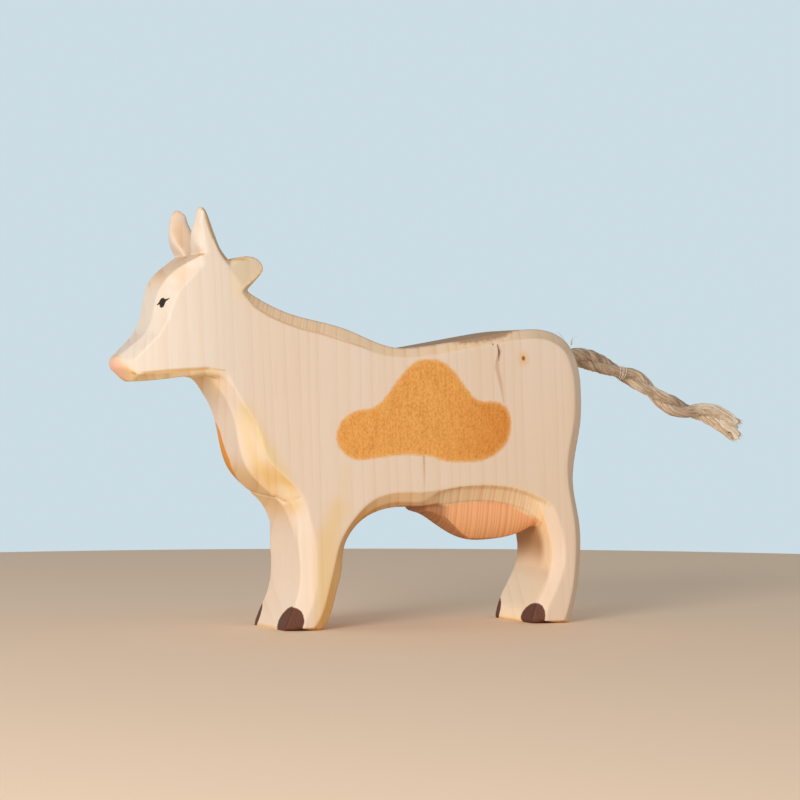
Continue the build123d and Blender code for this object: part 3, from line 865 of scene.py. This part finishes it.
# %% [markdown]
# ## Thin lines
#
# The crack, a knot, the creases and a few dark grain lines are drawn with the brush stroke, and
# last of all the eyes. The dark lines in the chest and shoulder creases are painted shade. Each
# row has a paint, how strongly it covers, how soft its edge is, its corners, and the brush's half
# width at each corner, all lengths in millimetres. The eyes are drawn once and mirrored, because
# the space they are drawn in folds at the middle of the board.

# %% The crack, the knot, the creases and the eyes
def line_mark(colour, vector, paint, share, soft, corners, widths):
    """Lays one thin line over the colour so far."""
    depth = None
    for start, end, first, last in zip(corners, corners[1:], widths, widths[1:]):
        inputs = {"Vector": vector, "First Width": first * mm, "Last Width": last * mm}
        inputs["From"] = tuple(x * mm for x in start)
        inputs["To"] = tuple(x * mm for x in end)
        piece = use_group(wood, stroke, inputs)["Depth"]
        depth = piece if depth is None else calc(wood, "MAXIMUM", depth, piece)
    depth = calc(wood, "MULTIPLY_ADD", uneven_edge, 0.4, depth)
    mask = product(wood, fade(wood, depth, -soft * mm, soft * mm), share)
    return blend(wood, mask, colour, paint)


crease_shade_brown = (0.30, 0.15, 0.07, 1)
crack_stain = [(40.3, -14, 77.6), (40.9, -14, 75.7), (40.0, -14, 71.5), (41.2, -14, 66.6), (42.1, -14, 61.6)]
crack_line = [(40.1, -14, 77.9), (40.7, -14, 75.4), (40.5, -14, 73.4)]
back_ridge = [
    (-32.9, -13.9, 91.1), (-31.0, -13.9, 87.5), (-26.7, -13.9, 85.0), (-22.4, -13.9, 83.2),
    (-17.3, -13.9, 81.5), (-12.1, -13.9, 80.4), (-1.4, -13.9, 77.3), (8.2, -13.9, 74.7),
]
wood_lines = [
    # painted shade: dark lines in the chest and shoulder creases
    (crease_shade_brown, 0.35, 0.22, chest_crease, (0.1, 0.22, 0.22, 0.22, 0.15)),
    (crease_shade_brown, 0.4, 0.15, shoulder_crease, (0.12, 0.05)),
    ((0.55, 0.30, 0.16, 1), 0.55, 0.5, crack_stain, (0.2, 0.5, 0.6, 0.45, 0.05)),
    ((0.16, 0.06, 0.03, 1), 0.85, 0.16, crack_line, (0.1, 0.32, 0.22)),
    ((0.22, 0.09, 0.04, 1), 0.8, 0.15, [(38.8, -14, 77.9), (38.8, -14, 77.7)], (0.2, 0.2)),
    ((0.85, 0.47, 0.16, 1), 0.7, 1.4, [(48.0, -14, 74.3), (48.1, -14, 73.4)], (1.2, 1.2)),
    ((0.24, 0.08, 0.035, 1), 0.9, 0.22, [(48.0, -14, 74.1), (48.05, -14, 73.8)], (0.5, 0.45)),
    ((0.56, 0.31, 0.15, 1), 0.65, 0.3, [(18.2, -14, 46.8), (18.4, -13.6, 36.3)], (0.3, 0.15)),
    ((0.36, 0.19, 0.09, 1), 0.6, 0.3, [(-43.2, -10.0, 68.9), (-40.3, -10.6, 68.4)], (0.3, 0.3)),
    ((0.66, 0.38, 0.16, 1), 0.6, 0.25, back_ridge, (0.2, 0.3, 0.32, 0.32, 0.3, 0.3, 0.25, 0.05)),
]
eye_paint = (0.03, 0.013, 0.009, 1)
eye_lines = [
    (eye_paint, 1.0, 0.12, [(-55.2, 7.9, 88.65), (-54.4, 9.3, 88.85), (-53.5, 10.7, 89.5)], (0.4, 0.42, 0.1)),
    (eye_paint, 1.0, 0.12, [(-54.85, 8.6, 88.5), (-54.9, 8.6, 87.9)], (1.15, 0.95)),
    (eye_paint, 1.0, 0.12, [(-55.3, 7.8, 88.3), (-55.8, 7.0, 87.8)], (0.42, 0.12)),
]
folded = {0: spot["X"], 1: calc(wood, "ABSOLUTE", spot["Y"]), 2: spot["Z"]}
both_sides = put(wood, "CombineXYZ", folded).outputs[0]
for space, lines in ((place, wood_lines), (both_sides, eye_lines)):
    for values in lines:
        colour = line_mark(colour, space, *values)
print("thin lines", len(wood_lines) + len(eye_lines))

# %% [markdown]
# ## The finish of the wood
#
# Oiled softwood has a broad dull shine. It is duller still on end grain, where the cut fibres
# stand open, and the fibres and the hard late wood leave a relief that is felt more than seen.

# %% Connect the wood's shader
rough = calc(wood, "MULTIPLY_ADD", ring["Fibre"], 0.2, 0.42)
rough = calc(wood, "MULTIPLY_ADD", end_grain, 0.3, rough)
relief = calc(wood, "MULTIPLY_ADD", ring["Late Wood"], 0.6, ring["Fibre"])
bump = put(wood, "Bump", {"Strength": 0.5, "Distance": 0.04 * mm, "Height": relief})
feed(wood, wood_shader, {
    "Base Color": colour,
    "Specular IOR Level": 0.25,
    "Roughness": rough,
    "Normal": bump.outputs[0],
})
cow.data.materials.append(softwood)
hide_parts("carved_body")
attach(cow, "root")
print("softwood nodes", len(wood.nodes))

# %% [markdown]
# ## The rope
#
# The tail is bast rope of two strands laid round each other. Each strand is a bundle of rough
# yarns. A strand's middle circles the tail's line, half a turn away from its partner. How far it
# has turned, and how far the strands stand apart, are listed at a few places along the tail. Both
# were set against the photograph, and the strands open up towards the cut end.

# %% Lay the strands round the tail's line
def even_points(points, count):
    """The same line with its points evenly spaced."""
    lengths = path_lengths(points)
    wanted = np.linspace(0, lengths[-1], count)
    return np.column_stack([np.interp(wanted, lengths, points[:, axis]) for axis in range(3)])


def unit(vectors):
    return vectors / np.linalg.norm(vectors, axis=-1, keepdims=True)


ring_count = 260
side_count = 12
yarn_count = 9
core_short_by = 13
strand_offset = 1.24 * mm
strand_radius = 1.72 * mm
centre = even_points(tail_line, ring_count)
forward = unit(np.gradient(centre, axis=0))
sideways = np.tile([0.0, 1.0, 0.0], (ring_count, 1))
upward = np.cross(forward, sideways)


def by_place(places, values):
    """Values listed at places along the tail, in millimetres, read at every row of the rope."""
    return np.interp(centre[:, 0], np.array(places) * mm, values)


half_turns = by_place(
    [56.0, 64.0, 72.5, 79.0, 84.6, 95.8, 107.0, 117.0, 123.2],
    [-1.5, -0.9, -0.2, 0.15, 0.5, 1.5, 2.5, 3.05, 3.1],
)
own_twist = by_place([56.0, 64.0, 82.0, 95.0, 123.2], [-13.0, -9.5, 0.0, 1.0, 2.0])
opening = by_place(
    [60.0, 70.0, 76.0, 86.0, 96.0, 104.0, 112.0, 118.0, 123.2],
    [1.0, 1.08, 0.96, 0.90, 0.92, 0.97, 1.02, 1.11, 1.14],
)
spreading = by_place([60.0, 110.0, 115.0, 119.0, 123.2], [1.0, 1.0, 1.08, 1.12, 1.05])
for _ in range(40):
    half_turns[1:-1] = (half_turns[:-2] + 2 * half_turns[1:-1] + half_turns[2:]) / 4
lay = half_turns * math.pi
share_along = np.linspace(0, 1, ring_count)


def strand_middle(number):
    """The line that the middle of one strand follows."""
    phase = lay + number * math.pi
    out = np.cos(phase)[:, None] * upward + np.sin(phase)[:, None] * sideways
    return centre + out * (strand_offset * opening * spreading)[:, None]


print("rope of", ring_count, "rows and", round((lay[-1] - lay[0]) / (2 * math.pi), 2), "turns")

# %% [markdown]
# ## The yarns
#
# The yarns of a strand circle its middle, and the strand's own twist is stronger near the hole.
# No yarn is even: each one swells, thins and wanders a little, and each is cut off at its own
# length. A few short yarns fill the space between the strands where they open at the cut end.
# Every yarn is a tube, and the chances are drawn from a fixed list, so that it always comes out
# the same.

# %% Spin the yarns
def tube(rings_of_points):
    """Corners and faces of a tube through rings of points, closed at both ends."""
    count, sides = rings_of_points.shape[:2]
    corners = [tuple(point) for ring_points in rings_of_points for point in ring_points]
    faces = []
    for row in range(count - 1):
        for side in range(sides):
            after = (side + 1) % sides
            here, there = row * sides, (row + 1) * sides
            faces.append((here + side, here + after, there + after, there + side))
    faces.append(tuple(range(sides - 1, -1, -1)))
    faces.append(tuple((count - 1) * sides + side for side in range(sides)))
    return corners, faces


def round_tube(middle, radius, sides):
    """Rings of points round a line, each with its own radius."""
    ahead = unit(np.gradient(middle, axis=0))
    first = unit(np.cross(ahead, [0.05, 0.99, 0.12]))
    second = np.cross(ahead, first)
    angle = np.linspace(0, 2 * math.pi, sides, endpoint=False)[None, :, None]
    turned = np.cos(angle) * first[:, None] + np.sin(angle) * second[:, None]
    return middle[:, None] + radius[:, None, None] * turned


laid = np.random.default_rng(11)


def slow_wave(size, waves):
    """A smooth random wave along the rope."""
    total = np.zeros(ring_count)
    for count in waves:
        total += np.sin(2 * math.pi * (count * share_along + laid.uniform(0, 1))) * laid.uniform(0.4, 1.0)
    return size * total / len(waves)


def at_rows(values, rows):
    """Vectors of the rope's rows, read at places between the rows too."""
    return np.column_stack([np.interp(rows, np.arange(ring_count), values[:, axis]) for axis in range(3)])


def yarn(number, index):
    """One yarn of a strand, with its own thickness, wander and length."""
    middle = strand_middle(number)
    ahead = unit(np.gradient(middle, axis=0))
    first = unit(upward - (upward * ahead).sum(1, keepdims=True) * ahead)
    second = np.cross(ahead, first)
    turn = 2 * math.pi * index / yarn_count + 0.62 * (lay + number * math.pi)
    turn = turn + own_twist + slow_wave(0.7, (2, 5, 9))
    size = strand_radius * (0.37 + slow_wave(0.17, (3, 7, 13, 22))) * opening
    out = (strand_radius * opening - size) * (1 + slow_wave(0.16, (4, 9, 17)))
    line = middle + out[:, None] * (np.cos(turn)[:, None] * first + np.sin(turn)[:, None] * second)
    cut = 0.967 - 0.013 * math.cos(lay[-1] + number * math.pi)
    rows = share_along * (ring_count - 1) * (cut + laid.uniform(-0.012, 0.018))
    return round_tube(at_rows(line, rows), np.interp(rows, np.arange(ring_count), size), side_count)


def filler(index):
    """A short yarn that lies between the two strands where they open at the cut end."""
    rows = np.linspace(0.70, 0.976 + laid.uniform(-0.01, 0.010), ring_count // 3) * (ring_count - 1)
    angle = 2 * math.pi * index / filler_count + 1.6 * np.linspace(0, 1, len(rows))
    out = np.cos(angle)[:, None] * at_rows(upward, rows) + np.sin(angle)[:, None] * at_rows(sideways, rows)
    size = 0.72 * mm * np.sin(np.linspace(0.12, 1.0, len(rows)) * math.pi / 2)
    return round_tube(at_rows(centre, rows) + 0.95 * mm * out, size, side_count)


yarns = [yarn(number, index) for number in (0, 1) for index in range(yarn_count)]
filler_count = 6
cores = [filler(index) for index in range(filler_count)]
for number in (0, 1):
    core_line = strand_middle(number)[:-core_short_by]
    cores.append(round_tube(core_line, 0.62 * strand_radius * opening[:-core_short_by], side_count))
print("yarns", len(yarns), "and", len(cores), "fillers and cores")

# %% [markdown]
# ## One rope from many yarns
#
# All tubes become one mesh. Three numbers stay at its points for the material: how far along the
# rope a point is, how far round its yarn, and a tone that each yarn has for itself.

# %% Join the yarns
def mesh_piece(name, parts, values):
    """One object from several tubes, with the numbers of each kept at its points."""
    corners, faces, kept = [], [], {key: [] for key in values}
    for index, part in enumerate(parts):
        more_corners, more_faces = tube(part)
        faces += [tuple(corner + len(corners) for corner in face) for face in more_faces]
        corners += more_corners
        for key in values:
            kept[key] += list(values[key][index])
    mesh = bpy.data.meshes.new(name)
    mesh.from_pydata(corners, [], faces)
    for key, numbers in kept.items():
        mesh.attributes.new(key, "FLOAT", "POINT").data.foreach_set("value", np.array(numbers, np.float32))
    mesh.shade_smooth()
    obj = bpy.data.objects.new(name, mesh)
    bpy.context.collection.objects.link(obj)
    only(obj)
    bpy.ops.object.mode_set(mode="EDIT")
    bpy.ops.mesh.select_all(action="SELECT")
    bpy.ops.mesh.normals_make_consistent(inside=False)
    bpy.ops.object.mode_set(mode="OBJECT")
    return obj


all_yarns = yarns + cores
row_share = [np.repeat(np.linspace(0, 1, len(part)), side_count) for part in all_yarns]
round_share = [np.tile(np.arange(side_count) / side_count, len(part)) for part in all_yarns]
yarn_tone = [np.full(part.shape[0] * side_count, laid.uniform(0, 1)) for part in all_yarns]
rope = mesh_piece("tail_strands", all_yarns, {"along": row_share, "round": round_share, "tone": yarn_tone})
print("rope of", len(all_yarns), "tubes with", len(rope.data.polygons), "faces")

# %% [markdown]
# ## Loose fibres
#
# Bast rope is hairy. Fibres work loose along it, and more stand out of the cut end. Each one is
# a very thin tube that starts inside a strand and leaves it at a low angle. They are drawn from
# a fixed list of random numbers, so that they come out the same every time.

# %% Grow the fibres
chance = np.random.default_rng(7)
fibre_steps = 12


def hair(start, step, curl, thickness):
    """A thin tapering tube from a start, heading along step and curling away."""
    share = np.linspace(0, 1, fibre_steps)[:, None]
    line = start + share * step + share**2 * curl
    ahead = unit(np.gradient(line, axis=0))
    first = unit(np.cross(ahead, [0.31, 0.22, 0.93]))
    second = np.cross(ahead, first)
    angle = np.linspace(0, 2 * math.pi, 4, endpoint=False)[None, :, None]
    radius = thickness * (1.1 - share[:, :, None])
    return line[:, None] + radius * (np.cos(angle) * first[:, None] + np.sin(angle) * second[:, None])


def keep_hair(points, tone):
    hairs.append(points)
    tones.append(np.full(points.shape[0] * points.shape[1], tone))


hairs, tones = [], []
loose_count, cut_count = 90, 170
for _ in range(loose_count):
    row = int(chance.integers(24, ring_count - 8))
    points = yarns[int(chance.integers(len(yarns)))]
    surface = points[row, int(chance.integers(side_count))]
    away = unit(surface - centre[row])
    step = forward[row] * chance.uniform(2.0, 5.0) * mm + away * chance.uniform(0.1, 0.8) * mm
    curl = away * chance.uniform(-0.6, 0.9) * mm + chance.normal(0, 0.5, 3) * mm
    thickness = chance.uniform(0.03, 0.06) * mm
    keep_hair(hair(surface - 0.2 * mm * away, step, curl, thickness), chance.uniform(0, 1))
for _ in range(cut_count):
    points = yarns[int(chance.integers(len(yarns)))]
    middle = points[-1].mean(axis=0)
    rim = points[-1, int(chance.integers(side_count))]
    start = middle + (rim - middle) * math.sqrt(chance.uniform(0, 0.95)) - forward[-1] * 1.2 * mm
    away = unit(start - centre[-1] + 1e-9)
    step = forward[-1] * chance.uniform(1.6, 3.2) * mm + away * chance.uniform(-0.1, 0.4) * mm
    curl = away * chance.uniform(-0.2, 0.4) * mm + chance.normal(0, 0.2, 3) * mm
    thickness = chance.uniform(0.07, 0.13) * mm
    keep_hair(hair(start, step, curl, thickness), chance.uniform(0.3, 1))
print("fibres", len(hairs))

# %% [markdown]
# ## White fibres
#
# Four white fibres are wound round both strands a third of the way along the tail, and two pairs
# stand up in loops beside the hole. They are rows of numbers: for a wound fibre where it starts,
# how far it slides along, the angles it begins and ends at, and its thickness, and for a loop its
# start, its step, its curl and its thickness.

# %% Wind the white fibres
def wrapped(x, slide, begin, end, thickness):
    """A white fibre wound part of the way round both strands, starting at x millimetres."""
    share = np.linspace(0, 1, 26)
    rows = np.interp((x + slide * share) * mm, centre[:, 0], np.arange(ring_count))
    angle = np.radians(begin + (end - begin) * share)
    phase = np.interp(rows, np.arange(ring_count), lay)
    reach = strand_radius + strand_offset * abs(np.cos(angle - phase)) + 0.06 * mm
    out = np.cos(angle)[:, None] * at_rows(upward, rows) + np.sin(angle)[:, None] * at_rows(sideways, rows)
    line = at_rows(centre, rows) + reach[:, None] * out
    return round_tube(line, np.full(len(line), thickness * mm), 5)


windings = [
    (82.4, 2.6, -20, -200, 0.06),
    (83.0, 2.0, 10, -170, 0.07),
    (84.0, 1.6, -40, -215, 0.05),
    (84.6, 0.8, 0, -150, 0.06),
]
for values in windings:
    keep_hair(wrapped(*values), 1.0)
loops = [
    ((68.3, -1.8, 78.0), (-0.7, -0.2, 5.0), (2.7, 0.1, -2.6), 0.17),
    ((68.6, -1.6, 78.2), (0.1, -0.2, 3.6), (0.2, 0.1, -0.9), 0.12),
    ((66.2, -1.8, 78.6), (-0.8, -0.4, 4.4), (-2.4, -0.2, -1.0), 0.19),
    ((66.0, -1.6, 78.6), (0.1, -0.4, 4.0), (-2.2, -0.2, -0.8), 0.16),
]
for values in loops:
    keep_hair(hair(*(np.array(value) * mm for value in values)), 1.0)
fibres = mesh_piece("tail_fibres", hairs, {"tone": tones})
print("fibres", len(hairs), "with", len(fibres.data.polygons), "faces")

# %% [markdown]
# ## The bast
#
# Bast is the inner bark of a plant. It dries to a pale straw colour with brown in it, and no two
# yarns have the same tone. The colour runs in streaks along each yarn, so the noise is stretched
# over how far along and how far round a point lies. The rope is paler towards its cut end, and
# two stretches of it are soiled.

# %% The bast material
bast, cloth, bast_shader = new_material("bast_rope")
along_rope = stored(cloth, "along")
round_rope = stored(cloth, "round")
own_tone = stored(cloth, "tone")
fibre_place = put(cloth, "CombineXYZ", {
    0: product(cloth, along_rope, 9.0),
    1: product(cloth, round_rope, 5.0),
    2: product(cloth, own_tone, 40.0),
}).outputs[0]
rope_at = put(cloth, "TexCoord").outputs["Object"]
tail_x = put(cloth, "SeparateXYZ", {0: rope_at}).outputs["X"]
coarse = noise(cloth, fibre_place, 3.0, 3.0, 0.6)
fine = noise(cloth, stretched(cloth, fibre_place, (1, 5, 1)), 4.0, 3.0, 0.7)
blotch = noise(cloth, rope_at, 160, 2.0)
pale = fade(cloth, calc(cloth, "MULTIPLY_ADD", blotch, 0.35, along_rope), 0.5, 1.2)
dark_tone = blend(cloth, pale, (0.32, 0.21, 0.135, 1), (0.58, 0.38, 0.215, 1))
light_tone = blend(cloth, pale, (0.76, 0.585, 0.405, 1), (0.98, 0.85, 0.67, 1))
lightness = calc(cloth, "MULTIPLY_ADD", calc(cloth, "SUBTRACT", own_tone, 0.5), 0.22, coarse)
straw_share = product(cloth, fade(cloth, fine, 0.5, 0.75), 0.5)
rope_colour = blend(cloth, fade(cloth, lightness, 0.32, 0.66), dark_tone, light_tone)
rope_colour = blend(cloth, straw_share, rope_colour, (0.88, 0.74, 0.56, 1))
by_the_windings = product(cloth, fade(cloth, tail_x, 0.0745, 0.0785), fade(cloth, tail_x, 0.0900, 0.0850))
by_the_tuft = product(cloth, fade(cloth, tail_x, 0.0985, 0.1020), fade(cloth, tail_x, 0.1095, 0.1060))
soiled = calc(cloth, "MULTIPLY_ADD", by_the_windings, 0.6, by_the_tuft)
rope_colour = tint(cloth, soiled, rope_colour, (0.60, 0.53, 0.48, 1))
rope_relief = calc(cloth, "MULTIPLY_ADD", fine, 0.7, coarse)
rope_bump = put(cloth, "Bump", {"Strength": 0.8, "Distance": 0.15 * mm, "Height": rope_relief})
feed(cloth, bast_shader, {
    "Base Color": rope_colour,
    "Roughness": 0.75,
    "Sheen Weight": 0.2,
    "Sheen Roughness": 0.5,
    "Normal": rope_bump.outputs[0],
})
rope.data.materials.append(bast)

hair_material, hairy, hair_shader = new_material("bast_fibre")
hair_colour = blend(hairy, stored(hairy, "tone"), (0.60, 0.43, 0.27, 1), (0.96, 0.90, 0.78, 1))
feed(hairy, hair_shader, {"Base Color": hair_colour, "Roughness": 0.7})
fibres.data.materials.append(hair_material)
print("rope material", len(cloth.nodes), "nodes, fibre material", len(hairy.nodes))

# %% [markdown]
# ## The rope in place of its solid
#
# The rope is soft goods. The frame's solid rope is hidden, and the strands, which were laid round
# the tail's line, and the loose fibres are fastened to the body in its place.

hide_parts("tail_rope")
for piece in (rope, fibres):
    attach(piece, "root")

# %% [markdown]
# ## The glue
#
# Wood glue holds the rope in its hole. It dries to a dull, yellowish, slightly cloudy film that
# nobody sees unless the tail is pulled out. Its solid stays as it is and only gets that finish.

# %% The glue's material
dried_glue, glue, glue_shader = new_material("dried_glue")
cloud = noise(glue, put(glue, "TexCoord").outputs["Object"], 700, 2.0)
feed(glue, glue_shader, {
    "Base Color": blend(glue, cloud, (0.80, 0.72, 0.54, 1), (0.66, 0.54, 0.34, 1)),
    "Roughness": calc(glue, "MULTIPLY_ADD", cloud, 0.3, 0.3),
})
glue_node = frame["nodes"]["tail_glue"]
glue_node.data.materials.clear()
glue_node.data.materials.append(dried_glue)
print("glue has", glue_node.data.materials[0].name)

# %% [markdown]
# ## The table
#
# The cow stands on a plain pale round table with a softened rim. Its faint clouds keep it from
# looking like paper, and it bounces warm light up under the belly.

# %% The table
bpy.ops.mesh.primitive_cylinder_add(vertices=192, radius=0.41, depth=0.02, location=(0, 0, -0.01))
table = bpy.context.object
table.name = "table"
bpy.ops.object.transform_apply(location=True, rotation=True, scale=True)
apply_modifier(table, "BEVEL", width=0.004, segments=4, limit_method="ANGLE")
bpy.ops.object.shade_smooth_by_angle(angle=math.radians(30))
table_top, board, board_shader = new_material("pale_table")
board_cloud = noise(board, put(board, "TexCoord").outputs["Object"], 6, 2.0)
board_colour = blend(board, board_cloud, (0.95, 0.72, 0.525, 1), (0.92, 0.69, 0.495, 1))
feed(board, board_shader, {"Base Color": board_colour, "Roughness": 0.8})
table.data.materials.append(table_top)
print("table of", len(table.data.polygons), "faces")

# %% [markdown]
# ## The light
#
# One large soft lamp stands low in front of the head, as a window would, and lights the face and
# the near flank while the rump falls off. A pale even surround fills the shadows. Where it is
# seen, or mirrored, it is the pale blue of the background instead.

# %% The lamp and the surround
bpy.ops.object.light_add(type="AREA", location=(-0.834, -0.777, 0.31))
lamp = bpy.context.object
lamp.name = "window_lamp"
target = mathutils.Vector((0.03, 0, 0.055))
lamp.rotation_euler = (target - lamp.location).to_track_quat("-Z", "Y").to_euler()
lamp.data.shape = "DISK"
lamp.data.size = 0.55
lamp.data.energy = 9.8
lamp.data.color = (1.0, 0.975, 0.945)

world = bpy.data.worlds.new("surround")
bpy.context.scene.world = world
world.use_nodes = True
sky = world.node_tree
background = sky.nodes["Background"]
rays = put(sky, "LightPath").outputs
fill_light, pale_blue = (0.39, 0.388, 0.382, 1), (0.60, 0.72, 0.78, 1)
mirrored = calc(sky, "MAXIMUM", rays["Is Glossy Ray"], rays["Is Transmission Ray"])
seen = calc(sky, "MAXIMUM", rays["Is Camera Ray"], mirrored)
feed(sky, background, {"Color": blend(sky, seen, fill_light, pale_blue)})
bpy.context.scene.view_settings.view_transform = "Standard"
print("lamp at", tuple(round(x, 3) for x in lamp.location), "with", lamp.data.energy, "W")
